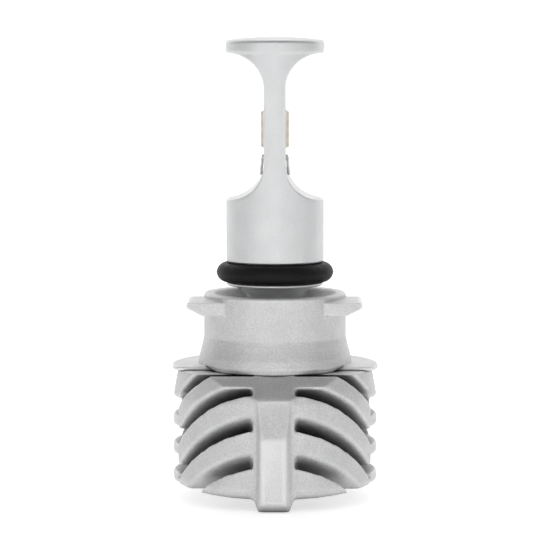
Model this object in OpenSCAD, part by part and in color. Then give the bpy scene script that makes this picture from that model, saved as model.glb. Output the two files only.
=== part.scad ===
// Plug-in LED headlight bulb with a slotted, finned base and a turning lamp head.
// Origin: on the bulb's axis, in the plane of the bayonet lugs' seating faces.
// +Z runs along the axis towards the light, -Y is the side with the plain rib, +Y the socket.

/* [Lamp head] */
// Diameter of the neck and of the top cap
head_d = 14.4; // [13:0.1:17.5]
// Thickness of the flat blade that carries the light sources
blade_t = 3.1; // [2.6:0.1:3.8]
// Radius of the hollow cheeks that run from the blade into the neck and the cap
cheek_r = 5.3; // [4.4:0.1:5.6]
// Height of the light centre above the seating faces
light_h = 25; // [25:0.5:31]
// Height of the neck's top edge
neck_top = 14.85; // [13:0.05:15]
// Distance from the light centre up to the cap's underside
cap_rise = 11.15; // [10:0.05:13]
// Thickness of the cap at its rim
cap_t = 1.95; // [1.2:0.05:3]
// Height of the dome on the cap
cap_crown = 0.45; // [0.2:0.05:0.8]

/* [Seal ring] */
// Thickness of the rubber ring's cord
seal_cord = 2.84; // [2.2:0.02:3.2]
// How far the rubber ring stands out of the neck
seal_proud = 1.42; // [1:0.02:1.7]
// Height of the middle of the ring
seal_z = 3.9; // [3.7:0.05:4.4]

/* [Light sources] */
// Length of one light source
led_len = 5.5; // [4:0.1:6.6]
// Width of one light source
led_w = 2.4; // [1.6:0.1:3.4]
// How far a light source stands out of the blade
led_proud = 0.5; // [0.3:0.05:0.8]
// Width of the little circuit strip under a light source
strip_w = 5.6; // [4.4:0.1:7]
// Thickness of the circuit strip
strip_t = 0.6; // [0.4:0.05:0.8]

/* [Collar] */
// Diameter of the collar's round wall
collar_d = 21; // [19.5:0.1:25.2]
// Thickness of the collar's wall
collar_wall = 1.25; // [0.8:0.05:1.5]
// Height of the rim above the seating faces
rim_z = 0.9; // [0.6:0.05:1.2]
// Diameter of the sunk ring around the stem
recess_d = 17.5; // [16.4:0.1:18.3]
// Depth of the sunk ring below the rim
recess_depth = 2.4; // [2.2:0.05:2.8]
// Thickness of the collar's floor
floor_t = 2.2; // [1.6:0.1:2.4]
// How far the bayonet lugs reach out of the collar's wall
lug_reach = 2.35; // [2.15:0.05:2.85]
// Thickness of a lug at its root
lug_t = 1.95; // [1.4:0.05:2.4]
// How far the gripping flange reaches out of the collar's wall
flange_reach = 4.75; // [4.75:0.05:6]
// Thickness of the gripping flange
flange_t = 0.53; // [0.4:0.01:0.7]
// Distance from the seating faces down to the flange's top
flange_drop = 9.72; // [9:0.02:11.6]

/* [Turning joint] */
// Diameter of the stem that turns in the collar's floor
stem_d = 7.8; // [6.6:0.1:8.4]
// Radial running clearance of the stem
stem_gap = 0.05; // [0.02:0.01:0.08]
// Bore of the stem, for the wires
stem_bore = 3.2; // [2.6:0.1:3.6]
// How far the head turns each way, in degrees
turn_stop = 90; // [45:5:90]

/* [Heat sink] */
// How far the flange stands out over the finned drum
flange_lip = 0.2; // [0:0.05:0.3]
// Height of the drum below the flange
drum_h = 16.9; // [16.4:0.1:19]
// Half depth of the level middle stretch of the fins
level_half = 5; // [4:0.1:6]
// Pitch of the level fins along the middle stretch
level_pitch = 4.2; // [3.9:0.05:4.3]
// Height of a level slot
level_slot = 2.6; // [2:0.1:2.7]
// Slant of the fins at the front and the back, in degrees
fin_angle = 42; // [40:0.5:44]
// Pitch of the slanted fins, measured upright
fin_pitch = 5.45; // [5.2:0.05:5.6]
// Height of a slanted slot, measured upright
fin_slot = 2.1; // [1.7:0.05:2.4]
// Thickness of the core's wall round the driver board, behind the slots
core_wall = 0.65; // [0.5:0.05:1.9]
// Width of the web and keel between the ends of the slots
web_w = 6; // [5.4:0.1:7]
// Width of the proud rib where it leaves the drum
rib_w = 4.9; // [4.2:0.1:5.4]
// Width of the rib's front face
rib_face_w = 3.6; // [3:0.1:4]
// How far the rib stands out of the drum
rib_proud = 1.2; // [0.8:0.1:1.8]
// How far the keel stands below the drum
keel_proud = 2.4; // [1.6:0.1:3]

/* [Driver] */
// Diameter of the driver board
board_d = 17.2; // [16.2:0.1:17.6]
// Thickness of the driver board
board_t = 1; // [0.8:0.1:1.2]
// Depth of the room under the board
well_depth = 6.2; // [5.8:0.1:7]

/* [Socket] */
// Outside width of the socket
socket_w = 14.8; // [14:0.1:16]
// Outside height of the socket
socket_h = 10.8; // [10:0.1:11.4]
// Wall thickness of the socket
socket_wall = 1.3; // [0.9:0.1:1.6]
// Length of the socket outside the drum
socket_len = 12; // [9:0.5:16]
// Depth of the cavity that takes the harness plug
socket_depth = 10.6; // [8:0.1:14.6]
// Distance between the two contact blades
blade_pitch = 6; // [5.8:0.1:6.4]
// Size of a contact blade across, and its thickness
blade_w = 2.8; // [2.4:0.1:3]
blade_th = 0.8; // [0.6:0.05:0.9]

/* [Hidden] */
$fn = 96;
eps = 0.01;
bend_swell = 1.04;
far = 60;
head_r = head_d / 2;
blade_half = blade_t / 2;
cap_under = light_h + cap_rise;
cap_edge = cap_under + cap_t;
cap_r = head_r + 0.1;
edge_r = 0.3;
seal_r = seal_cord / 2;
seal_mid_r = head_r + seal_proud - seal_r;
groove_r = seal_mid_r - seal_r - 0.03;
groove_half = seal_r + 0.03;
lip_t = 0.5;
lip_top = seal_z - groove_half;
lip_bottom = lip_top - lip_t;
stem_r = stem_d / 2;
recess_z = rim_z - recess_depth;
floor_under = recess_z - floor_t;
thrust_gap = 0.05;
shoulder_r = stem_r + 1.1;
shoulder_t = 0.5;
lip_r = head_r - 0.05;
throat_h = lip_bottom - recess_z - thrust_gap - shoulder_t - 0.1;
throat_w = lip_r - 0.15 - stem_r;
tab_reach = 2.2;
tab_half = 0.7;
tab_inset = 0.05;
peg_r = 0.5;
peg_track_r = shoulder_r + 1.1;
peg_h = 0.9;
ring_t = 0.5;
washer_t = 0.3;
ring_z = floor_under - washer_t - 3 * thrust_gap - ring_t;
ring_deep = 0.4;
ring_out_r = stem_r + 1.5;
stem_end = ring_z - 0.8;
bore_r = stem_bore / 2;
channel_r = 1.15;
wire_r = 0.2;
wire_off = 0.42;
wire_side = 1.1;
wire_drop = 1.7;
wire_hole_z = neck_top + cheek_r - wire_drop;
cheek_x = blade_half + cheek_r - sqrt(cheek_r * cheek_r - wire_drop * wire_drop);
pad_t = 0.07;
solder_t = 0.3;
solder_r = 0.36;
channel_top = wire_hole_z + 0.5;
strip_bottom = neck_top + cheek_r + 0.1;
strip_top = cap_under - cheek_r - 0.1;
strip_corner = 0.5;
collar_r = collar_d / 2;
collar_in_r = collar_r - collar_wall;
skirt_spread = 0.85;
skirt_tuck = 0.25;
scallop_in = 8.4;
scallop_h = 1.35;
flange_top = -flange_drop;
deck_z = flange_top - flange_t;
lug_r = collar_r + lug_reach;
lug_front = -7.6;
lug_back = 2.5;
lug_tip_t = 0.8;
lug_root = 5;
key_half = 3.6;
flange_r = collar_r + flange_reach;
flange_screw_r = 1;
flange_head_r = 1.6;
flange_head_h = 1.3;
flange_screw_at = flange_r - flange_head_r - 0.15;
post_r = 1.55;
flange_screw_len = 5;
screw_gap = 0.03;
drum_r = flange_r - flange_lip;
drum_bottom = deck_z - drum_h;
drum_top_r = drum_r - 0.75;
drum_round = 1.4;
front_dip = 0.95;
land_y = drum_r - 4.25;
land_fall = 0.73;
slot_count = 4;
level_top = deck_z - 4.15;
fin_axis_top = deck_z - 7.75;
rib_front = drum_r + rib_proud;
keel_z = drum_bottom - keel_proud;
board_r = board_d / 2;
ledge_r = board_r + 0.15;
core_r = ledge_r + core_wall;
well_r = board_r - 0.6;
board_z = deck_z - board_t;
well_z = board_z - well_depth;
board_screw_r = 0.8;
board_screw_x = board_r - 1.5;
socket_z = (deck_z + drum_bottom) / 2 - 0.2;
seat_inset = 2.25;
boss_y = drum_r - seat_inset;
wire_run = 1;
boss_w = socket_w + 6.4;
boss_h = socket_h + 2.6;
plate_t = 1.6;
gasket_t = 0.5;
plate_y = boss_y + gasket_t;
socket_end = plate_y + plate_t + socket_len;
plug_w = socket_w - 5.2;
plug_h = socket_h - 4.4;
plug_in = 4;
duct_gap = 0.2;
socket_screw_x = socket_w / 2 + 1.45;
socket_round = 1.6;
blade_back = boss_y - plug_in - 1.2;
blade_front = socket_end - 1.8;

// ---------- helpers ----------

// A wire: round rods between the points, with a ball at each bend.
module wire(points, r) {
    for (i = [0 : len(points) - 2]) {
        a = points[i];
        v = points[i + 1] - a;
        translate(a)
            rotate([0, acos(v[2] / norm(v)), atan2(v[1], v[0])])
                cylinder(r = r, h = norm(v), $fn = 24);
    }
    if (len(points) > 2)
        for (i = [1 : len(points) - 2]) translate(points[i]) sphere(r = r * bend_swell, $fn = 24);
}

// A box centred on X and Y, standing on z.
module block(x, y, z, h) {
    translate([-x / 2, -y / 2, z]) cube([x, y, h]);
}

// A rounded rectangle drawn with true arcs.
module round_rect(w, h, r) {
    square([w - 2 * r, h], center = true);
    square([w, h - 2 * r], center = true);
    for (x = [-1, 1], y = [-1, 1])
        translate([x * (w / 2 - r), y * (h / 2 - r)]) circle(r = r, $fn = 32);
}

// A flat bar seen from the front, in X and Z, pushed along Y.
module along_y(y0, y1) {
    translate([0, y1, 0]) rotate([90, 0, 0]) linear_extrude(height = y1 - y0) children();
}

// A flat outline drawn in Y and Z, pushed along X.
module along_x(x0, x1) {
    translate([x0, 0, 0]) rotate([90, 0, 90]) linear_extrude(height = x1 - x0) children();
}

// A cross-head screw with its head up, seated on z = 0.
module screw(shank_r, head_r, head_h, length) {
    difference() {
        union() {
            translate([0, 0, -length]) cylinder(r = shank_r, h = length + eps);
            cylinder(r = head_r, h = head_h * 0.55);
            translate([0, 0, head_h * 0.55])
                cylinder(r1 = head_r, r2 = head_r * 0.72, h = head_h * 0.45);
        }
        for (a = [0, 90]) rotate(a) block(head_r * 1.15, 0.36, head_h * 0.45, head_h);
    }
}

// ---------- lamp head ----------

// Half outline of the turned head, from the stem's end to the cap.
module head_outline() {
    throat = [for (a = [0 : 7.5 : 90])
        [stem_r + throat_w * (1 - cos(a)), lip_bottom - throat_h * (1 - sin(a))]];
    polygon(concat(
        [
            [0, stem_end], [stem_r - 0.3, stem_end], [stem_r, stem_end + 0.3],
            [stem_r, ring_z], [stem_r - ring_deep, ring_z],
            [stem_r - ring_deep, ring_z + ring_t + thrust_gap],
            [stem_r, ring_z + ring_t + thrust_gap],
            [stem_r, recess_z + thrust_gap], [shoulder_r, recess_z + thrust_gap],
            [shoulder_r, recess_z + thrust_gap + shoulder_t],
            [stem_r, recess_z + thrust_gap + shoulder_t]
        ],
        throat,
        [
            [lip_r, lip_bottom + 0.15], [lip_r, lip_top], [groove_r, lip_top],
            [groove_r, seal_z + groove_half], [head_r - edge_r, seal_z + groove_half],
            [head_r, seal_z + groove_half + edge_r], [head_r, cap_under],
            [cap_r, cap_under + edge_r], [cap_r, cap_edge - edge_r],
            [cap_r - edge_r, cap_edge], [cap_r - edge_r, cap_edge + 1], [0, cap_edge + 1]
        ]
    ));
}

// One hollow cheek, in X and Z: a slot with two big round corners beside the blade.
module cheek() {
    low = neck_top + cheek_r;
    high = cap_under - cheek_r;
    corner_x = blade_half + cheek_r;
    translate([blade_half, low]) square([far, high - low]);
    translate([corner_x, neck_top]) square([far, cap_under - neck_top]);
    translate([corner_x, low]) circle(r = cheek_r);
    translate([corner_x, high]) circle(r = cheek_r);
}

module strip_shape(grow) {
    translate([0, (strip_bottom + strip_top) / 2])
        round_rect(strip_w + 2 * grow, strip_top - strip_bottom + 2 * grow, strip_corner);
}

module lamp_head() {
    crown_r = (cap_r * cap_r + cap_crown * cap_crown) / (2 * cap_crown);
    color("silver") {
        difference() {
            intersection() {
                rotate_extrude() head_outline();
                translate([0, 0, cap_edge + cap_crown - crown_r]) sphere(r = crown_r);
            }
            for (side = [0, 180]) rotate(side) along_y(-far, far) cheek();
            for (side = [0, 1]) mirror([side, 0, 0])
                along_x(blade_half - strip_t, blade_half + 1) strip_shape(0.05);
            translate([0, 0, stem_end - 1]) cylinder(r = bore_r, h = seal_z - stem_end);
            translate([0, 0, stem_end - 1])
                cylinder(r = channel_r, h = channel_top - stem_end + 1);
            for (y = [-1, 1])
                translate([0, y * wire_side * 0.6, wire_hole_z]) rotate([0, 90, 0])
                    cylinder(r = wire_r + 0.1, h = head_d, center = true, $fn = 24);
        }
        // stop tab on the shoulder, at the back
        translate([-tab_half, stem_r - 1, recess_z + thrust_gap + tab_inset])
            cube([2 * tab_half, shoulder_r + tab_reach - stem_r + 1, shoulder_t - 2 * tab_inset]);
    }
}

module o_ring() {
    color("#1c1c1e") translate([0, 0, seal_z]) rotate_extrude()
        translate([seal_mid_r, 0]) circle(r = seal_r, $fn = 48);
}

// ---------- light sources ----------

// Circuit strip with two solder pads, on the +X side.
module strip() {
    along_x(blade_half - strip_t + 0.02, blade_half) strip_shape(0);
    for (y = [-1, 1])
        translate([blade_half - eps, y * wire_side - 0.45, strip_bottom + 0.2])
            cube([pad_t + eps, 0.9, 0.8]);
}

module strip_left() { color("#e8e4d8") mirror([1, 0, 0]) strip(); }
module strip_right() { color("#e8e4d8") strip(); }

// Ceramic base of one light source, on the +X side.
module led_base() {
    along_x(blade_half, blade_half + led_proud * 0.45)
        translate([0, light_h]) round_rect(led_w, led_len, 0.12);
}

module led_left() { color("#f4f1ea") mirror([1, 0, 0]) led_base(); }
module led_right() { color("#f4f1ea") led_base(); }

// Yellow phosphor layer over the chips, on the +X side.
module phosphor() {
    along_x(blade_half + led_proud * 0.45, blade_half + led_proud)
        translate([0, light_h]) round_rect(led_w - 0.3, led_len - 0.3, 0.2);
}

module phosphor_left() { color("#e6cf73") mirror([1, 0, 0]) phosphor(); }
module phosphor_right() { color("#e6cf73") phosphor(); }

// Two wires from the channel, out through the side holes, up to the solder pads.
module leads() {
    out_x = cheek_x + wire_r + 0.02;
    pad_y = -wire_side;
    for (side = [0, 1]) mirror([0, side, 0]) {
        wire([
            [wire_off, -wire_off, seal_z - 3.4],
            [wire_off, pad_y * 0.6, wire_hole_z],
            [out_x, pad_y * 0.6, wire_hole_z],
            [blade_half + pad_t + wire_r + 0.02, pad_y, strip_bottom + 0.6]
        ], wire_r);
        // solder joint on the pad
        along_x(blade_half + pad_t, blade_half + pad_t + solder_t)
            translate([pad_y, strip_bottom + 0.6]) circle(r = solder_r);
    }
}

module leads_left() { color("#c9c6c2") mirror([1, 0, 0]) leads(); }
module leads_right() { color("#c9c6c2") leads(); }

// ---------- turning joint ----------

module retaining_ring() {
    color("dimgray") translate([0, 0, ring_z + thrust_gap / 2]) linear_extrude(height = ring_t)
        difference() {
            circle(r = ring_out_r);
            circle(r = stem_r - ring_deep + 0.03);
            translate([0, ring_out_r]) square([2.6, 2 * ring_out_r], center = true);
        }
}

module friction_washer() {
    color("ivory") translate([0, 0, floor_under - thrust_gap - washer_t])
        difference() {
            cylinder(r = stem_r + 1.3, h = washer_t);
            translate([0, 0, -1]) cylinder(r = stem_r + 0.06, h = washer_t + 2);
        }
}

// ---------- collar ----------

// Half outline of the collar: sunk top, straight wall, flared skirt.
module collar_outline() {
    difference() {
        polygon([
            [0, floor_under], [collar_in_r, floor_under], [collar_in_r, deck_z],
            [collar_r + skirt_spread - skirt_tuck, deck_z], [collar_r + skirt_spread, deck_z + 0.8],
            [collar_r + skirt_spread * 0.8, deck_z + 1.9], [collar_r + skirt_spread * 0.35, deck_z + 3.3],
            [collar_r, deck_z + 4.7], [collar_r, rim_z - 0.25],
            [collar_r - 0.25, rim_z], [recess_d / 2 + 0.3, rim_z],
            [recess_d / 2, rim_z - 0.3], [recess_d / 2 - 0.9, recess_z], [0, recess_z]
        ]);
        translate([-1, -far]) square([1 + stem_r + stem_gap, 2 * far]);
    }
}

// One bayonet lug in X and Z: level on top, rising underneath towards its tip.
module lug_side() {
    polygon([
        [lug_root, 0], [lug_r - 0.25, 0], [lug_r, -0.25], [lug_r, -lug_tip_t],
        [collar_r + 0.1, -lug_t], [lug_root, -lug_t]
    ]);
}

module collar() {
    color("silver") difference() {
        union() {
            rotate_extrude() collar_outline();
            difference() {
                union() {
                    for (side = [0, 1]) mirror([side, 0, 0]) along_y(lug_front, lug_back) lug_side();
                    rotate(90) along_y(-key_half, key_half) lug_side();
                }
                translate([0, 0, -far]) cylinder(r = collar_in_r + 0.2, h = 2 * far);
            }
            // gripping flange, cut straight across the front
            difference() {
                translate([0, 0, deck_z]) cylinder(r = flange_r, h = flange_t);
                translate([0, 0, deck_z - 1]) cylinder(r = collar_r, h = flange_t + 2);
                translate([-far, -far - level_half, deck_z - 1]) cube([2 * far, far, 3]);
            }
            // pegs that stop the head's tab
            for (side = [-1, 1]) {
                tab_angle = asin((tab_half + peg_r) / peg_track_r);
                rotate(90 + side * (turn_stop + tab_angle + 0.4))
                    translate([peg_track_r, 0, recess_z - 0.2])
                        cylinder(r = peg_r, h = peg_h + 0.2, $fn = 32);
            }
        }
        for (x = [-1, 1]) flange_screw_place(x)
            translate([0, 0, -1]) cylinder(r = flange_screw_r + screw_gap, h = 3);
        // scallops at the two front corners of the skirt
        for (side = [0, 1]) mirror([side, 0, 0]) along_y(-far, -level_half)
            polygon([
                [scallop_in, deck_z - 1], [scallop_in, deck_z], [collar_r + 0.9, deck_z + scallop_h],
                [far, deck_z + scallop_h], [far, deck_z - 1]
            ]);
    }
}

module flange_screw_place(side) {
    a = 45;
    translate([side * flange_screw_at * cos(a), flange_screw_at * sin(a), deck_z]) children();
}

module flange_screws() {
    color("gray") for (side = [-1, 1]) flange_screw_place(side)
        translate([0, 0, flange_t]) screw(flange_screw_r, flange_head_r, flange_head_h, flange_screw_len);
}

// ---------- heat sink ----------

// Half outline of the drum that the fins are cut from.
module drum_outline() {
    polygon([
        [0, drum_bottom - front_dip], [drum_r - drum_round, drum_bottom - front_dip],
        [drum_r - drum_round * 0.3, drum_bottom - front_dip + drum_round * 0.3],
        [drum_r, drum_bottom - front_dip + drum_round],
        [drum_r, deck_z - 4], [drum_r - 0.3, deck_z - 2.2], [drum_top_r, deck_z], [0, deck_z]
    ]);
}

// Level of the upper side of slanted slot i at distance y from the axis.
function slant_top(i, y) = fin_axis_top - i * fin_pitch + y * tan(fin_angle);

// One slot in Y and Z: level in the middle, slanting up to the front and to the back.
module slot_side(i) {
    out = drum_r + 1;
    top = level_top - i * level_pitch;
    translate([-level_half, top - level_slot]) square([2 * level_half, level_slot]);
    for (side = [0, 1]) mirror([side, 0])
        polygon([
            [level_half - eps, slant_top(i, level_half)], [out, slant_top(i, out)],
            [out, slant_top(i, out) - fin_slot], [level_half - eps, slant_top(i, level_half) - fin_slot]
        ]);
}

// Where the sloping front land lies at distance y from the axis.
function land_at(y) = deck_z - land_fall * (y - land_y);

// The web, rib and keel, seen from the side.
module web_side() {
    polygon([
        [-land_y, deck_z], [-drum_r, land_at(drum_r)],
        [-rib_front, deck_z - 8.75], [-rib_front, keel_z + 1], [-rib_front + 0.3, keel_z + 0.3],
        [-rib_front + 1, keel_z], [drum_r - 2.6, keel_z], [drum_r - 1.6, keel_z + 1],
        [drum_r - 1.6, drum_bottom + 2], [0, drum_bottom + 2], [0, deck_z]
    ]);
}

// The web with its proud rib and keel: bevelled front and bottom edges.
module web() {
    half = web_w / 2;
    root = rib_w / 2;
    face = rib_face_w / 2;
    intersection() {
        along_x(-half, half) web_side();
        translate([0, 0, keel_z - 1]) linear_extrude(height = far)
            polygon([
                [-face, -rib_front], [face, -rib_front], [root, -drum_r + 0.1], [half, -drum_r + 0.35],
                [half, far], [-half, far], [-half, -drum_r + 0.35], [-root, -drum_r + 0.1]
            ]);
        along_y(-far, far)
            polygon([
                [-root + 0.2, keel_z], [root - 0.2, keel_z], [half, drum_bottom - 0.5],
                [half, 0], [-half, 0], [-half, drum_bottom - 0.5]
            ]);
    }
}

// The space that is cut away between the fins on both sides.
module slots() {
    for (i = [0 : slot_count - 1], side = [0, 1])
        mirror([side, 0, 0]) difference() {
            along_x(web_w / 2, far) slot_side(i);
            translate([0, 0, -far]) cylinder(r = core_r, h = 2 * far);
        }
}

module socket_boss() {
    translate([-boss_w / 2, 0, socket_z - boss_h / 2]) cube([boss_w, boss_y, boss_h]);
}

module heat_sink() {
    color("silver") difference() {
        union() {
            difference() {
                rotate_extrude() drum_outline();
                slots();
                // sloping front land
                along_x(-far, far)
                    polygon([[-land_y, deck_z], [-far, land_at(far)], [-far, 0], [-land_y, 0]]);
                // underside: level, dipping a little towards the front edge
                along_x(-far, far) polygon([
                    [far, drum_bottom], [-level_half, drum_bottom],
                    [-drum_r, drum_bottom - front_dip], [-drum_r, -far], [far, -far]
                ]);
            }
            web();
            socket_boss();
            for (side = [-1, 1]) flange_screw_place(side)
                translate([0, 0, -flange_screw_len - 0.6]) cylinder(r = post_r, h = flange_screw_len + 0.6);
        }
        // ledge for the driver board and the well under it
        translate([0, 0, board_z]) cylinder(r = ledge_r, h = 10);
        translate([0, 0, well_z]) cylinder(r = well_r, h = 10);
        // groove of the base seal
        translate([0, 0, deck_z - 0.35]) difference() {
            cylinder(r = collar_r - 0.3, h = 2);
            translate([0, 0, -1]) cylinder(r = ledge_r + 0.35, h = 4);
        }
        // holes of the flange screws
        for (side = [-1, 1]) flange_screw_place(side)
            translate([0, 0, -flange_screw_len + 0.3])
                cylinder(r = flange_screw_r + screw_gap, h = flange_screw_len + 1);
        // level seat that the socket's plate is screwed to
        translate([-boss_w / 2, boss_y, socket_z - boss_h / 2]) cube([boss_w, far, boss_h]);
        // duct from the well to the socket
        translate([0, 0, socket_z]) along_y(0, boss_y + 1)
            round_rect(plug_w + 2 * duct_gap, plug_h + 2 * duct_gap, 1);
        for (side = [-1, 1]) {
            translate([side * board_screw_x, 0, board_z - 3.2])
                cylinder(r = board_screw_r + screw_gap, h = 4);
            translate([side * socket_screw_x, boss_y - 4.2, socket_z]) rotate([-90, 0, 0])
                cylinder(r = flange_screw_r + screw_gap, h = 6);
        }
    }
}

module base_seal() {
    color("#2a2a2c") translate([0, 0, deck_z - 0.33]) difference() {
        cylinder(r = collar_r - 0.35, h = 0.31);
        translate([0, 0, -1]) cylinder(r = ledge_r + 0.4, h = 3);
    }
}

// ---------- driver ----------

module driver_board() {
    color("#1f5c3a") difference() {
        translate([0, 0, board_z]) cylinder(r = board_r, h = board_t);
        for (side = [-1, 1]) {
            translate([side * board_screw_x, 0, board_z - 1])
                cylinder(r = board_screw_r + 0.1, h = 4, $fn = 32);
            translate([side * 1.6, 5.6, board_z - 1]) cylinder(r = 0.5, h = 4, $fn = 24);
        }
    }
}

module board_screws() {
    color("gray") for (side = [-1, 1])
        translate([side * board_screw_x, 0, board_z + board_t])
            screw(board_screw_r, 1.35, 0.9, board_t + 2.8);
}

module inductor() {
    color("#3a3a3d") difference() {
        translate([0, -4.9, deck_z]) block(6, 5, 0, 2.8);
        translate([0, -4.9, deck_z + 0.5]) cylinder(r = 2.1, h = 5);
    }
}

module inductor_winding() {
    color("#b06a2c") translate([0, -4.9, deck_z + 0.52]) rotate_extrude() union() {
        for (z = [0 : 3]) translate([1.75, 0.28 + z * 0.5]) circle(r = 0.28, $fn = 24);
        translate([0.9, 0.02]) square([0.8, 2]);
    }
}

module capacitors() {
    color("#2d3138") for (side = [-1, 1])
        translate([side * 2.6, -3.2, board_z - 5.4]) {
            cylinder(r = 2, h = 4.7);
            translate([0, 0, 4.65]) block(4.2, 4.2, 0, 0.7);
        }
}

module driver_chips() {
    color("#202124") {
        translate([-5.2, -2.9, deck_z]) block(3, 2.6, 0, 1.1);
        translate([5.2, -2.9, deck_z]) block(3, 2.6, 0, 1.1);
        translate([0, 4.2, deck_z]) block(3.9, 1.6, 0, 1.2);
    }
}

module ceramic_parts() {
    color("#b9a27c") {
        for (x = [-3.4, -2.2, 2.2, 3.4]) translate([x, 1.9, deck_z]) block(0.8, 1.6, 0, 0.7);
        for (x = [-4.6, 4.6]) translate([x, 3.6, deck_z]) block(2, 1.2, 0, 1);
    }
}

// Sleeve round the four wires, on the axis, from the board up into the stem.
module lead_sleeve() {
    color("#26262a") translate([0, 0, deck_z]) cylinder(r = 1, h = seal_z - 3.7 - deck_z);
}

module supply_wires() {
    color("#8a1f1b") for (side = [-1, 1]) wire([
        [side * 1.6, 5.6, deck_z + 0.5],
        [side * 1.8, 5.4, board_z - 2.2],
        [side * blade_pitch / 2, blade_back - wire_run, socket_z],
        [side * blade_pitch / 2, blade_back, socket_z]
    ], 0.4);
}

// ---------- socket ----------

module socket_shell() {
    along_y(plate_y, socket_end) round_rect(socket_w, socket_h, socket_round);
    along_y(plate_y, plate_y + plate_t)
        round_rect(socket_w + 6, socket_h, socket_round);
    along_y(boss_y - plug_in, plate_y + eps) round_rect(plug_w, plug_h, 0.8);
}

module socket_housing() {
    color("#232426") translate([0, 0, socket_z]) difference() {
        union() {
            socket_shell();
            // ramp on top that the harness plug latches over
            along_x(-2.2, 2.2) polygon([
                [socket_end - 5.2, socket_h / 2 - 0.1], [socket_end - 5.2, socket_h / 2 + 1.3],
                [socket_end - 4.4, socket_h / 2 + 1.3], [socket_end - 1.6, socket_h / 2 - 0.1]
            ]);
            for (side = [-1, 1])
                translate([side * 3.6 - 0.5, plate_y + plate_t - 0.1, socket_h / 2 - 0.1])
                    cube([1, socket_len - 1.9, 0.9]);
        }
        along_y(socket_end - socket_depth, far)
            round_rect(socket_w - 2 * socket_wall, socket_h - 2 * socket_wall, 0.9);
        for (side = [-1, 1]) {
            translate([side * socket_screw_x, plate_y - 1, 0]) rotate([-90, 0, 0])
                cylinder(r = flange_screw_r + 0.1, h = plate_t + 2);
            translate([side * blade_pitch / 2 - blade_th / 2 - 0.02, boss_y - plug_in - 1,
                    -blade_w / 2 - 0.02])
                cube([blade_th + 0.04, far, blade_w + 0.04]);
        }
    }
}

module socket_gasket() {
    color("#7a2a22") translate([0, 0, socket_z]) difference() {
        along_y(boss_y, plate_y) round_rect(socket_w + 5.4, socket_h - 0.4, socket_round);
        along_y(boss_y - 1, plate_y + 1) round_rect(plug_w + 0.5, plug_h + 0.5, 0.9);
        for (side = [-1, 1]) translate([side * socket_screw_x, boss_y - 1, 0])
            rotate([-90, 0, 0]) cylinder(r = flange_screw_r + 0.15, h = 3);
    }
}

module contact_blades() {
    color("#c9b37a") for (side = [-1, 1])
        translate([side * blade_pitch / 2, 0, socket_z]) {
            along_x(-blade_th / 2, blade_th / 2) polygon([
                [blade_back, -blade_w / 2], [blade_front - 0.8, -blade_w / 2],
                [blade_front, -blade_w / 2 + 0.7], [blade_front, blade_w / 2 - 0.7],
                [blade_front - 0.8, blade_w / 2], [blade_back, blade_w / 2]
            ]);
        }
}

module socket_screws() {
    color("gray") for (side = [-1, 1])
        translate([side * socket_screw_x, plate_y + plate_t, socket_z])
            rotate([-90, 0, 0]) screw(flange_screw_r, 1.4, 1.1, plate_t + gasket_t + 4);
}

lamp_head();
o_ring();
strip_left();
strip_right();
led_left();
led_right();
phosphor_left();
phosphor_right();
leads_left();
leads_right();
retaining_ring();
friction_washer();
collar();
heat_sink();
base_seal();
flange_screws();
lead_sleeve();
driver_board();
inductor();
inductor_winding();
capacitors();
driver_chips();
ceramic_parts();
board_screws();
supply_wires();
socket_housing();
socket_gasket();
contact_blades();
socket_screws();
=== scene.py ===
"""Plug-in LED headlight bulb: finished meshes, materials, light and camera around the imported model."""
import math

import bmesh
import bpy
import numpy as np
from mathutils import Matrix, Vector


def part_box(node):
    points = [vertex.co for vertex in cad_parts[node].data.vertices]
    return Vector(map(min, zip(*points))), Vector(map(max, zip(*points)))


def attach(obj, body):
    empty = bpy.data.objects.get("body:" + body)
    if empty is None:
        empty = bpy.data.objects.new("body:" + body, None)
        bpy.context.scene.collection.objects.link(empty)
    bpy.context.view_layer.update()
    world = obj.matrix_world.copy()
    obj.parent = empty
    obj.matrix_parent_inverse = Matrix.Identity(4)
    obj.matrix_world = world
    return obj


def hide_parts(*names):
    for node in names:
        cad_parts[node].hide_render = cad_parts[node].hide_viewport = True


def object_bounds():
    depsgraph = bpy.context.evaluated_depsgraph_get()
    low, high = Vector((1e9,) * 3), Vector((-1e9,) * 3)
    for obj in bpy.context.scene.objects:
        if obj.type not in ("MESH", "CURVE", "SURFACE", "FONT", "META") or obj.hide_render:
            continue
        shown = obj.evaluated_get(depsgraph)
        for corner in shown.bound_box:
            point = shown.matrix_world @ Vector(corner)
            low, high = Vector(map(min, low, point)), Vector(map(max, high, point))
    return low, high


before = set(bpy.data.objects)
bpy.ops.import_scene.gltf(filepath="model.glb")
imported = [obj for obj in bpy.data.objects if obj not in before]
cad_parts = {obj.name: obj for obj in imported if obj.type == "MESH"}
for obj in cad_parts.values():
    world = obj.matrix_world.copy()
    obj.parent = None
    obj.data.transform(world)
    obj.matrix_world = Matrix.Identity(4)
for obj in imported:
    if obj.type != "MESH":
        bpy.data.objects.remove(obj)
cad_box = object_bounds()

MM = 0.001

# ---------- camera ----------
CAMERA_FAR = 436.9 * MM
CAMERA_UP = 44.3 * MM
CAMERA_TURN = math.radians(0.7)
CAMERA_PITCH = math.radians(84.65)
CAMERA_LENS = 194.0
SENSOR = 36.0

# ---------- mesh finishing ----------
SMOOTH_STEP = 0.5
WELD_MM = 1e-4

# the lower front edges of the fins; lengths are in mm
EDGE_BLUR_PASSES = 8
FIN_EDGE_R = 11.5
FRONT_FROM = -3.0
FRONT_FADE = 4.0
FIN_EDGE_PASSES = 36
FACES_DOWN = -0.3
FACES_OUT = 0.3
EDGE_GAIN = 2.5

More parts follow.
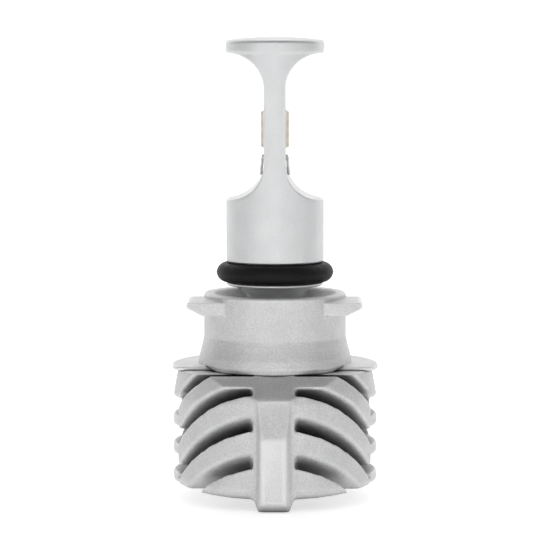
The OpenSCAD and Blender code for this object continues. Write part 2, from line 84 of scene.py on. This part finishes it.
# the stored edge value
PROUD_PASSES = 3
PROUD_BLUR = 2
PROUD_TOP_PERCENT = 98


def bare_copy(node):
    """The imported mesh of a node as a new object, in millimetres."""
    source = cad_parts[node]
    mesh = source.data.copy()
    mesh.transform(source.matrix_world)
    mesh.vertices.foreach_set("co", (read_points(mesh) / MM).ravel())
    mesh.materials.clear()
    obj = bpy.data.objects.new(node + "_work", mesh)
    bpy.context.scene.collection.objects.link(obj)
    bm = bmesh.new()
    bm.from_mesh(mesh)
    bmesh.ops.remove_doubles(bm, verts=bm.verts, dist=WELD_MM)
    bm.to_mesh(mesh)
    bm.free()
    return obj


def applied(obj):
    """The object's mesh with its modifiers applied."""
    depsgraph = bpy.context.evaluated_depsgraph_get()
    mesh = bpy.data.meshes.new_from_object(obj.evaluated_get(depsgraph))
    obj.modifiers.clear()
    obj.data = mesh
    return mesh


def read_points(mesh):
    points = np.empty(len(mesh.vertices) * 3)
    mesh.vertices.foreach_get("co", points)
    return points.reshape(-1, 3)


def read_edges(mesh):
    edges = np.empty(len(mesh.edges) * 2, dtype=np.int64)
    mesh.edges.foreach_get("vertices", edges)
    return edges.reshape(-1, 2)


def read_normals(mesh):
    normals = np.empty(len(mesh.vertices) * 3)
    mesh.vertex_normals.foreach_get("vector", normals)
    return normals.reshape(-1, 3)


def neighbour_mean(values, edges, counts):
    """The mean of each point's neighbours, column by column."""
    total = np.empty_like(values)
    for axis in range(values.shape[1]):
        column = values[:, axis]
        total[:, axis] = np.bincount(edges[:, 0], column[edges[:, 1]], len(values))
        total[:, axis] += np.bincount(edges[:, 1], column[edges[:, 0]], len(values))
    return total / counts[:, None]


def relax(values, edges, passes, weight=None):
    """Moves each row towards the mean of its neighbours, `passes` times."""
    counts = np.bincount(edges.ravel(), minlength=len(values)).clip(1)
    step = SMOOTH_STEP if weight is None else SMOOTH_STEP * weight[:, None]
    for _ in range(passes):
        values = values + step * (neighbour_mean(values, edges, counts) - values)
    return values


def lower_edge_weight(points, normals, edges):
    """1 near the lower front edges of the fins, which are rounded more than the rest, 0 elsewhere."""
    soft = relax(normals, edges, EDGE_BLUR_PASSES)
    radial = np.hypot(points[:, 0], points[:, 1]).clip(1e-3)
    outward = (soft[:, 0] * points[:, 0] + soft[:, 1] * points[:, 1]) / radial
    edge = (soft[:, 2] < FACES_DOWN) & (outward > FACES_OUT) & (radial > FIN_EDGE_R)
    weight = relax(edge.astype(float)[:, None], edges, EDGE_BLUR_PASSES)[:, 0]
    front = np.clip((FRONT_FROM - points[:, 1]) / FRONT_FADE, 0, 1)
    return np.clip(weight * EDGE_GAIN, 0, 1) * front


def finish_mesh(node, name, body, voxel, passes, most_faces, fins=False):
    """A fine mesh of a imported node, with the soft edges of a cast or moulded piece.

    It stands for the node. voxel is in millimetres.
    """
    obj = bare_copy(node)
    obj.name = name
    remesh = obj.modifiers.new("skin", "REMESH")
    remesh.mode = "VOXEL"
    remesh.voxel_size = voxel
    mesh = applied(obj)
    points = read_points(mesh)
    edges = read_edges(mesh)
    if fins:
        weight = lower_edge_weight(points, read_normals(mesh), edges)
        points = relax(points, edges, FIN_EDGE_PASSES, weight)
    points = relax(points, edges, passes)
    mesh.vertices.foreach_set("co", points.ravel())
    mesh.update()
    triangles = sum(len(p.vertices) - 2 for p in mesh.polygons)
    if triangles > most_faces:
        thin = obj.modifiers.new("thin", "DECIMATE")
        thin.ratio = most_faces / triangles
        mesh = applied(obj)
    mark_edge_highlight(mesh)
    points = read_points(mesh)
    mesh.vertices.foreach_set("co", (points * MM).ravel())
    mesh.polygons.foreach_set("use_smooth", [True] * len(mesh.polygons))
    mesh.name = name
    mesh.update()
    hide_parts(node)
    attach(obj, body)
    return obj


def mark_edge_highlight(mesh):
    """Stores how far each point stands out of its surroundings, for the painted highlight on convex
    edges.
    """
    points = read_points(mesh)
    edges = read_edges(mesh)
    normals = read_normals(mesh)
    low = relax(points, edges, PROUD_PASSES)
    proud = ((points - low) * normals).sum(axis=1)
    proud = relax(proud[:, None], edges, PROUD_BLUR)[:, 0]
    span = np.percentile(np.abs(proud), PROUD_TOP_PERCENT) + 1e-6
    layer = mesh.attributes.new("edge", "FLOAT", "POINT")
    layer.data.foreach_set("value", np.clip(proud / span * 0.5 + 0.5, 0, 1))


# ---------- material building ----------
class Paint:
    """A material under construction, with short calls for the nodes that it uses."""

    def __init__(self, name):
        self.material = bpy.data.materials.new(name)
        self.material.use_nodes = True
        self.tree = self.material.node_tree
        self.tree.nodes.clear()
        self.shader = self.tree.nodes.new("ShaderNodeBsdfPrincipled")
        output = self.tree.nodes.new("ShaderNodeOutputMaterial")
        self.link(self.shader.outputs["BSDF"], output.inputs["Surface"])
        self.place = self.tree.nodes.new("ShaderNodeTexCoord").outputs["Object"]

    def link(self, start, end):
        self.tree.links.new(start, end)

    def fixed(self, **values):
        """Sets plain values on the shader's own sockets."""
        for name, value in values.items():
            self.shader.inputs[name.replace("_", " ")].default_value = value

    def noise(self, size_mm, detail=3.0, stretch=None):
        """Noise with features about size_mm across. stretch gives a factor along X, Y and Z."""
        node = self.tree.nodes.new("ShaderNodeTexNoise")
        node.inputs["Scale"].default_value = 1 / (size_mm * MM)
        node.inputs["Detail"].default_value = detail
        place = self.place
        if stretch:
            mapping = self.tree.nodes.new("ShaderNodeMapping")
            mapping.inputs["Scale"].default_value = stretch
            self.link(place, mapping.inputs["Vector"])
            place = mapping.outputs["Vector"]
        self.link(place, node.inputs["Vector"])
        return node.outputs["Fac"]

    def cells(self, size_mm):
        node = self.tree.nodes.new("ShaderNodeTexVoronoi")
        node.inputs["Scale"].default_value = 1 / (size_mm * MM)
        self.link(self.place, node.inputs["Vector"])
        return node.outputs["Distance"]

    def spread(self, value, low, high, start=0.3, end=0.7):
        """Maps start..end of a value to low..high."""
        node = self.tree.nodes.new("ShaderNodeMapRange")
        node.inputs["From Min"].default_value = start
        node.inputs["From Max"].default_value = end
        node.inputs["To Min"].default_value = low
        node.inputs["To Max"].default_value = high
        self.link(value, node.inputs["Value"])
        return node.outputs["Result"]

    def mix(self, factor, first, second):
        """Blends two colours, each a tuple or a socket."""
        node = self.tree.nodes.new("ShaderNodeMix")
        node.data_type = "RGBA"
        self.link(factor, node.inputs["Factor"])
        for name, colour in (("A", first), ("B", second)):
            socket = [s for s in node.inputs if s.name == name and s.type == "RGBA"][0]
            if isinstance(colour, tuple):
                socket.default_value = (*colour, 1)
            else:
                self.link(colour, socket)
        return [s for s in node.outputs if s.type == "RGBA"][0]

    def bump(self, height, depth_mm, strength=1.0, after=None):
        node = self.tree.nodes.new("ShaderNodeBump")
        node.inputs["Distance"].default_value = depth_mm * MM
        node.inputs["Strength"].default_value = strength
        self.link(height, node.inputs["Height"])
        if after is not None:
            self.link(after, node.inputs["Normal"])
        return node.outputs["Normal"]

    def edge(self):
        """0.5 on flat ground, towards 1 on edges and towards 0 in corners."""
        node = self.tree.nodes.new("ShaderNodeAttribute")
        node.attribute_name = "edge"
        return node.outputs["Fac"]

    def crevice_shade(self, reach_mm):
        """Ambient occlusion for the painted shade: 1 in the open, falling to 0 deep in a slot or a
        corner.
        """
        node = self.tree.nodes.new("ShaderNodeAmbientOcclusion")
        node.samples = 8
        node.inputs["Distance"].default_value = reach_mm * MM
        return node.outputs["AO"]

    def finish(self, colour, roughness=None, normal=None):
        self.link(colour, self.shader.inputs["Base Color"])
        if roughness is not None:
            self.link(roughness, self.shader.inputs["Roughness"])
        if normal is not None:
            self.link(normal, self.shader.inputs["Normal"])
        return self.material


def cast_metal(name, light, dark, rough, grain, grain_mm, grain_depth, painted_shade_mm, painted_shade):
    """Blasted aluminium: fine pits, faint mottling, a painted highlight on convex edges and a painted
    shade colour deep in slots and corners.

    grain is how strongly the specks show; the last two arguments are how far the painted shade reaches,
    in mm, and its colour.
    """
    paint = Paint(name)
    paint.fixed(Metallic=1.0)
    colour = paint.mix(paint.spread(paint.noise(2.6, 4), 0, 1), dark, light)
    speck = paint.spread(paint.noise(grain_mm, 2), 0, 1, 0.35, 0.65)
    tint = tuple(c * 0.84 for c in dark)
    colour = paint.mix(paint.spread(speck, 0, grain, 0.0, 1.0), colour, tint)
    # painted highlight: convex edges lightened towards near white
    colour = paint.mix(paint.spread(paint.edge(), 0, 0.5, 0.62, 0.95), colour, (0.92, 0.92, 0.93))
    # painted shade: ambient occlusion blends the colour towards a darker shade colour in slots and
    # corners
    colour = paint.mix(paint.spread(paint.crevice_shade(painted_shade_mm), 0, 1, 0.0, 0.7), painted_shade, colour)
    roughness = paint.spread(paint.noise(1.3, 3), rough - 0.05, rough + 0.05)
    wave = paint.bump(paint.noise(3.2, 2), 0.05)
    pits = paint.bump(paint.noise(grain_mm, 3), grain_depth, after=wave)
    fine = paint.bump(paint.cells(grain_mm * 0.45), grain_depth * 0.35, after=pits)
    return paint.finish(colour, roughness, fine)


def turned_metal(name, light, dark, rough, plane=(1.0, 1.0, 14.0)):
    """Machined or rolled metal with fine lines, drawn out across the axes that `plane` scales up."""
    paint = Paint(name)
    paint.fixed(Metallic=1.0)
    lines = paint.noise(0.6, 5, plane)
    colour = paint.mix(paint.spread(lines, 0, 1), dark, light)
    roughness = paint.spread(paint.noise(0.5, 4), rough - 0.07, rough + 0.07)
    return paint.finish(colour, roughness, paint.bump(lines, 0.006))


def moulded(name, light, dark, rough, texture_mm=0.18, depth=0.012, gloss=0.5):
    """Moulded plastic, ceramic or rubber: fine mould texture and faint flow marks."""
    paint = Paint(name)
    paint.fixed(Specular_IOR_Level=gloss)
    colour = paint.mix(paint.spread(paint.noise(3.5, 4), 0, 1), dark, light)
    roughness = paint.spread(paint.noise(1.1, 4), rough - 0.07, rough + 0.07)
    flow = paint.bump(paint.noise(4.0, 2), 0.04)
    grain = paint.bump(paint.noise(texture_mm, 3), depth, after=flow)
    return paint.finish(colour, roughness, grain)


def phosphor_paint():
    """Cream silicone over a row of chips, which show through as faint bands."""
    paint = Paint("phosphor")
    paint.fixed(Subsurface_Weight=0.15, Subsurface_Scale=0.3 * MM)
    wave = paint.tree.nodes.new("ShaderNodeTexWave")
    wave.bands_direction = "Z"
    wave.inputs["Scale"].default_value = 1 / (5.5 * MM)
    wave.inputs["Distortion"].default_value = 0.4
    paint.link(paint.place, wave.inputs["Vector"])
    colour = paint.mix(paint.spread(wave.outputs["Fac"], 0, 1, 0.2, 0.9),
                       (0.66, 0.60, 0.47), (0.74, 0.70, 0.58))
    colour = paint.mix(paint.spread(paint.noise(0.25, 3), 0, 0.3), colour, (0.74, 0.70, 0.58))
    roughness = paint.spread(paint.noise(0.4, 3), 0.32, 0.48)
    return paint.finish(colour, roughness, paint.bump(paint.noise(0.5, 2), 0.02))


def board_paint():
    """Green solder mask with paler copper areas under it."""
    paint = Paint("board_green")
    cells = paint.tree.nodes.new("ShaderNodeTexBrick")
    cells.inputs["Scale"].default_value = 1 / (4 * MM)
    paint.link(paint.place, cells.inputs["Vector"])
    track = paint.spread(cells.outputs["Fac"], 0, 1, 0.2, 0.8)
    colour = paint.mix(track, (0.02, 0.16, 0.07), (0.04, 0.24, 0.11))
    colour = paint.mix(paint.spread(paint.noise(2.0, 3), 0, 0.35), colour, (0.01, 0.12, 0.06))
    roughness = paint.spread(paint.noise(0.6, 3), 0.28, 0.4)
    return paint.finish(colour, roughness, paint.bump(track, 0.03))


def wire_paint(name, light, dark, rough, metal=0.0):
    paint = Paint(name)
    paint.fixed(Metallic=metal)
    colour = paint.mix(paint.spread(paint.noise(1.2, 3), 0, 1), dark, light)
    roughness = paint.spread(paint.noise(0.5, 3), rough - 0.08, rough + 0.08)
    return paint.finish(colour, roughness, paint.bump(paint.noise(0.2, 3), 0.008))


def build_materials():
    return {
        # the castings are one aluminium; the last two numbers of each are the reach in mm and the colour
        # of its painted shade, darkest between the fins
        "cast_head": cast_metal("cast_head", (0.72, 0.725, 0.73), (0.67, 0.675, 0.68),
                                0.50, 0.25, 0.24, 0.012, 1.5, (0.45, 0.45, 0.45)),
        "cast_collar": cast_metal("cast_collar", (0.73, 0.73, 0.735), (0.66, 0.66, 0.665),
                                  0.56, 0.60, 0.26, 0.045, 2.5, (0.34, 0.34, 0.34)),
        "cast_fins": cast_metal("cast_fins", (0.72, 0.72, 0.725), (0.64, 0.64, 0.645),
                                0.58, 0.60, 0.28, 0.045, 4.0, (0.05, 0.05, 0.05)),
        "rubber_black": moulded("rubber_black", (0.006, 0.006, 0.007), (0.003, 0.003, 0.004),
                                0.55, 0.4, 0.03, 0.2),
        "strip_white": moulded("strip_white", (0.80, 0.78, 0.72), (0.74, 0.72, 0.66),
                               0.45, 0.15, 0.006),
        "ceramic_white": moulded("ceramic_white", (0.84, 0.81, 0.74), (0.78, 0.74, 0.66),
                                 0.5, 0.12, 0.004),
        "phosphor": phosphor_paint(),
        "wire_tinned": wire_paint("wire_tinned", (0.66, 0.65, 0.65), (0.52, 0.51, 0.51),
                                  0.38, 1.0),
        "wire_red": wire_paint("wire_red", (0.42, 0.03, 0.02), (0.30, 0.02, 0.015), 0.42),
        "spring_steel": turned_metal("spring_steel", (0.42, 0.42, 0.44), (0.34, 0.34, 0.36), 0.34),
        "washer_white": moulded("washer_white", (0.82, 0.81, 0.76), (0.76, 0.75, 0.70), 0.5),
        "screw_steel": turned_metal("screw_steel", (0.62, 0.61, 0.60), (0.50, 0.50, 0.50), 0.30),
        "sleeve_black": moulded("sleeve_black", (0.03, 0.03, 0.032), (0.015, 0.015, 0.017), 0.5),
        "board_green": board_paint(),
        "ferrite": moulded("ferrite", (0.06, 0.06, 0.065), (0.035, 0.035, 0.04), 0.55, 0.3, 0.03),
        "copper": wire_paint("copper", (0.72, 0.34, 0.16), (0.58, 0.24, 0.10), 0.3, 1.0),
        "can_dark": turned_metal("can_dark", (0.42, 0.43, 0.45), (0.30, 0.31, 0.33), 0.35),
        "chip_black": moulded("chip_black", (0.03, 0.03, 0.032), (0.018, 0.018, 0.02),
                              0.5, 0.1, 0.008),
        "ceramic_tan": moulded("ceramic_tan", (0.50, 0.38, 0.24), (0.40, 0.30, 0.18), 0.45),
        "socket_black": moulded("socket_black", (0.026, 0.026, 0.028), (0.014, 0.014, 0.016),
                                0.46, 0.22, 0.02),
        "gasket_red": moulded("gasket_red", (0.30, 0.07, 0.045), (0.22, 0.045, 0.03), 0.55),
        "blade_brass": turned_metal("blade_brass", (0.80, 0.66, 0.40), (0.68, 0.54, 0.30),
                                    0.3, (14.0, 1.0, 1.0)),
    }


def dress(obj, material):
    obj.data.materials.clear()
    obj.data.materials.append(material)


# ---------- seal ring ----------
def o_ring():
    """The rubber ring with its moulding line and slight unevenness."""
    low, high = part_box("o_ring")
    cord_r = (high[2] - low[2]) / 2
    middle_r = (high[0] - low[0]) / 2 - cord_r
    middle_z = (high[2] + low[2]) / 2
    around = 220
    across = 40
    line_height = 0.05 * MM
    line_half = 0.10
    size = 0.992
    unevenness = 0.006
    bm = bmesh.new()
    rings = []
    for i in range(around):
        turn = 2 * math.pi * i / around
        ring = []
        for j in range(across):
            a = 2 * math.pi * j / across
            r = cord_r * (size + unevenness * math.sin(3 * turn + 1.1 * math.sin(a)))
            r += line_height * math.exp(-((math.remainder(a, 2 * math.pi) / line_half) ** 2))
            reach = middle_r + r * math.cos(a)
            height = middle_z + r * math.sin(a)
            ring.append(bm.verts.new((reach * math.cos(turn), reach * math.sin(turn), height)))
        rings.append(ring)
    for i in range(around):
        for j in range(across):
            bm.faces.new((rings[i][j], rings[(i + 1) % around][j],
                          rings[(i + 1) % around][(j + 1) % across], rings[i][(j + 1) % across]))
    mesh = bpy.data.meshes.new("seal_ring")
    bm.to_mesh(mesh)
    bm.free()
    mesh.polygons.foreach_set("use_smooth", [True] * len(mesh.polygons))
    obj = bpy.data.objects.new("seal_ring", mesh)
    bpy.context.scene.collection.objects.link(obj)
    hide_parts("o_ring")
    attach(obj, "head")
    return obj


# ---------- build ----------
NODE_SLOTS = {
    "strip_left": "strip_white", "strip_right": "strip_white",
    "led_left": "ceramic_white", "led_right": "ceramic_white",
    "phosphor_left": "phosphor", "phosphor_right": "phosphor",
    "leads_left": "wire_tinned", "leads_right": "wire_tinned",
    "retaining_ring": "spring_steel", "friction_washer": "washer_white",
    "base_seal": "rubber_black", "flange_screws": "screw_steel",
    "lead_sleeve": "sleeve_black", "driver_board": "board_green",
    "inductor": "ferrite", "inductor_winding": "copper",
    "capacitors": "can_dark", "driver_chips": "chip_black",
    "ceramic_parts": "ceramic_tan", "board_screws": "screw_steel",
    "supply_wires": "wire_red", "socket_gasket": "gasket_red",
    "contact_blades": "blade_brass", "socket_screws": "screw_steel",
}

materials = build_materials()
for node_name, slot_name in NODE_SLOTS.items():
    dress(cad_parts[node_name], materials[slot_name])

# node, piece, body, slot, voxel in mm, smoothing passes, most triangles, rounds the fin edges
castings = [
    ("lamp_head", "head_casting", "head", "cast_head", 0.12, 5, 150000, False),
    ("collar", "collar_casting", "base", "cast_collar", 0.11, 5, 170000, False),
    ("heat_sink", "heat_sink_casting", "base", "cast_fins", 0.14, 9, 195000, True),
    ("socket_housing", "socket_moulding", "base", "socket_black", 0.13, 3, 90000, False),
]
for node_name, piece_name, body_name, slot_name, voxel_mm, smooth_passes, most, has_fins in castings:
    piece = finish_mesh(node_name, piece_name, body_name,
                        voxel_mm, smooth_passes, most, has_fins)
    dress(piece, materials[slot_name])
dress(o_ring(), materials["rubber_black"])


# ---------- stage ----------
FLOOR_GLOW = 0.56
WORLD_LIGHT = 0.37


def floor_paint():
    paint = Paint("studio_floor")
    paint.fixed(Emission_Color=(1, 1, 1, 1), Emission_Strength=FLOOR_GLOW)
    colour = paint.mix(paint.spread(paint.noise(60, 2), 0, 1), (0.90, 0.90, 0.90), (0.915, 0.915, 0.915))
    return paint.finish(colour, paint.spread(paint.noise(20, 2), 0.85, 0.95))


def backdrop():
    """The floor, sweeping up behind the object. Sizes are in metres."""
    floor_z = cad_box[0][2]
    half = 2.5
    wall_h = 3.0
    bend_r = 0.6
    back_y = 1.6
    bend_steps = 12
    profile = [(-half, floor_z), (back_y - bend_r, floor_z)]
    for step in range(1, bend_steps + 1):
        a = math.pi / 2 * step / bend_steps
        profile.append((back_y - bend_r + bend_r * math.sin(a), floor_z + bend_r * (1 - math.cos(a))))
    profile.append((back_y, floor_z + wall_h))
    bm = bmesh.new()
    rows = [[bm.verts.new((x, y, z)) for x in (-half, half)] for y, z in profile]
    for one, two in zip(rows, rows[1:]):
        bm.faces.new((one[0], one[1], two[1], two[0]))
    mesh = bpy.data.meshes.new("studio_backdrop")
    bm.to_mesh(mesh)
    bm.free()
    mesh.polygons.foreach_set("use_smooth", [True] * len(mesh.polygons))
    obj = bpy.data.objects.new("studio_backdrop", mesh)
    bpy.context.scene.collection.objects.link(obj)
    dress(obj, floor_paint())


def soft_sun(name, place, power, spread_deg):
    """A very wide, soft light that shines from `place` towards the object."""
    light = bpy.data.lights.new(name, "SUN")
    light.energy = power
    light.angle = math.radians(spread_deg)
    obj = bpy.data.objects.new(name, light)
    obj.rotation_euler = (-Vector(place)).to_track_quat("-Z", "Y").to_euler()
    bpy.context.scene.collection.objects.link(obj)


def light_studio():
    soft_sun("key", (-0.40, -1.0, 0.10), 0.66, 60)
    soft_sun("fill", (0.60, -1.0, 0.0), 0.56, 70)
    soft_sun("low", (0.0, -1.0, -0.35), 0.36, 40)
    world = bpy.data.worlds.new("studio")
    world.use_nodes = True
    background = world.node_tree.nodes["Background"]
    background.inputs["Color"].default_value = (1, 1, 1, 1)
    background.inputs["Strength"].default_value = WORLD_LIGHT
    bpy.context.scene.world = world


def set_camera():
    data = bpy.data.cameras.new("camera")
    data.lens = CAMERA_LENS
    data.sensor_width = SENSOR
    data.clip_start = 0.01
    data.clip_end = 20
    obj = bpy.data.objects.new("camera", data)
    across = CAMERA_FAR * math.sin(CAMERA_TURN)
    back = -CAMERA_FAR * math.cos(CAMERA_TURN)
    obj.location = (across, back, CAMERA_UP)
    obj.rotation_euler = (CAMERA_PITCH, 0, CAMERA_TURN)
    bpy.context.scene.collection.objects.link(obj)
    bpy.context.scene.camera = obj


backdrop()
light_studio()
set_camera()
bpy.context.scene.view_settings.view_transform = "Standard"
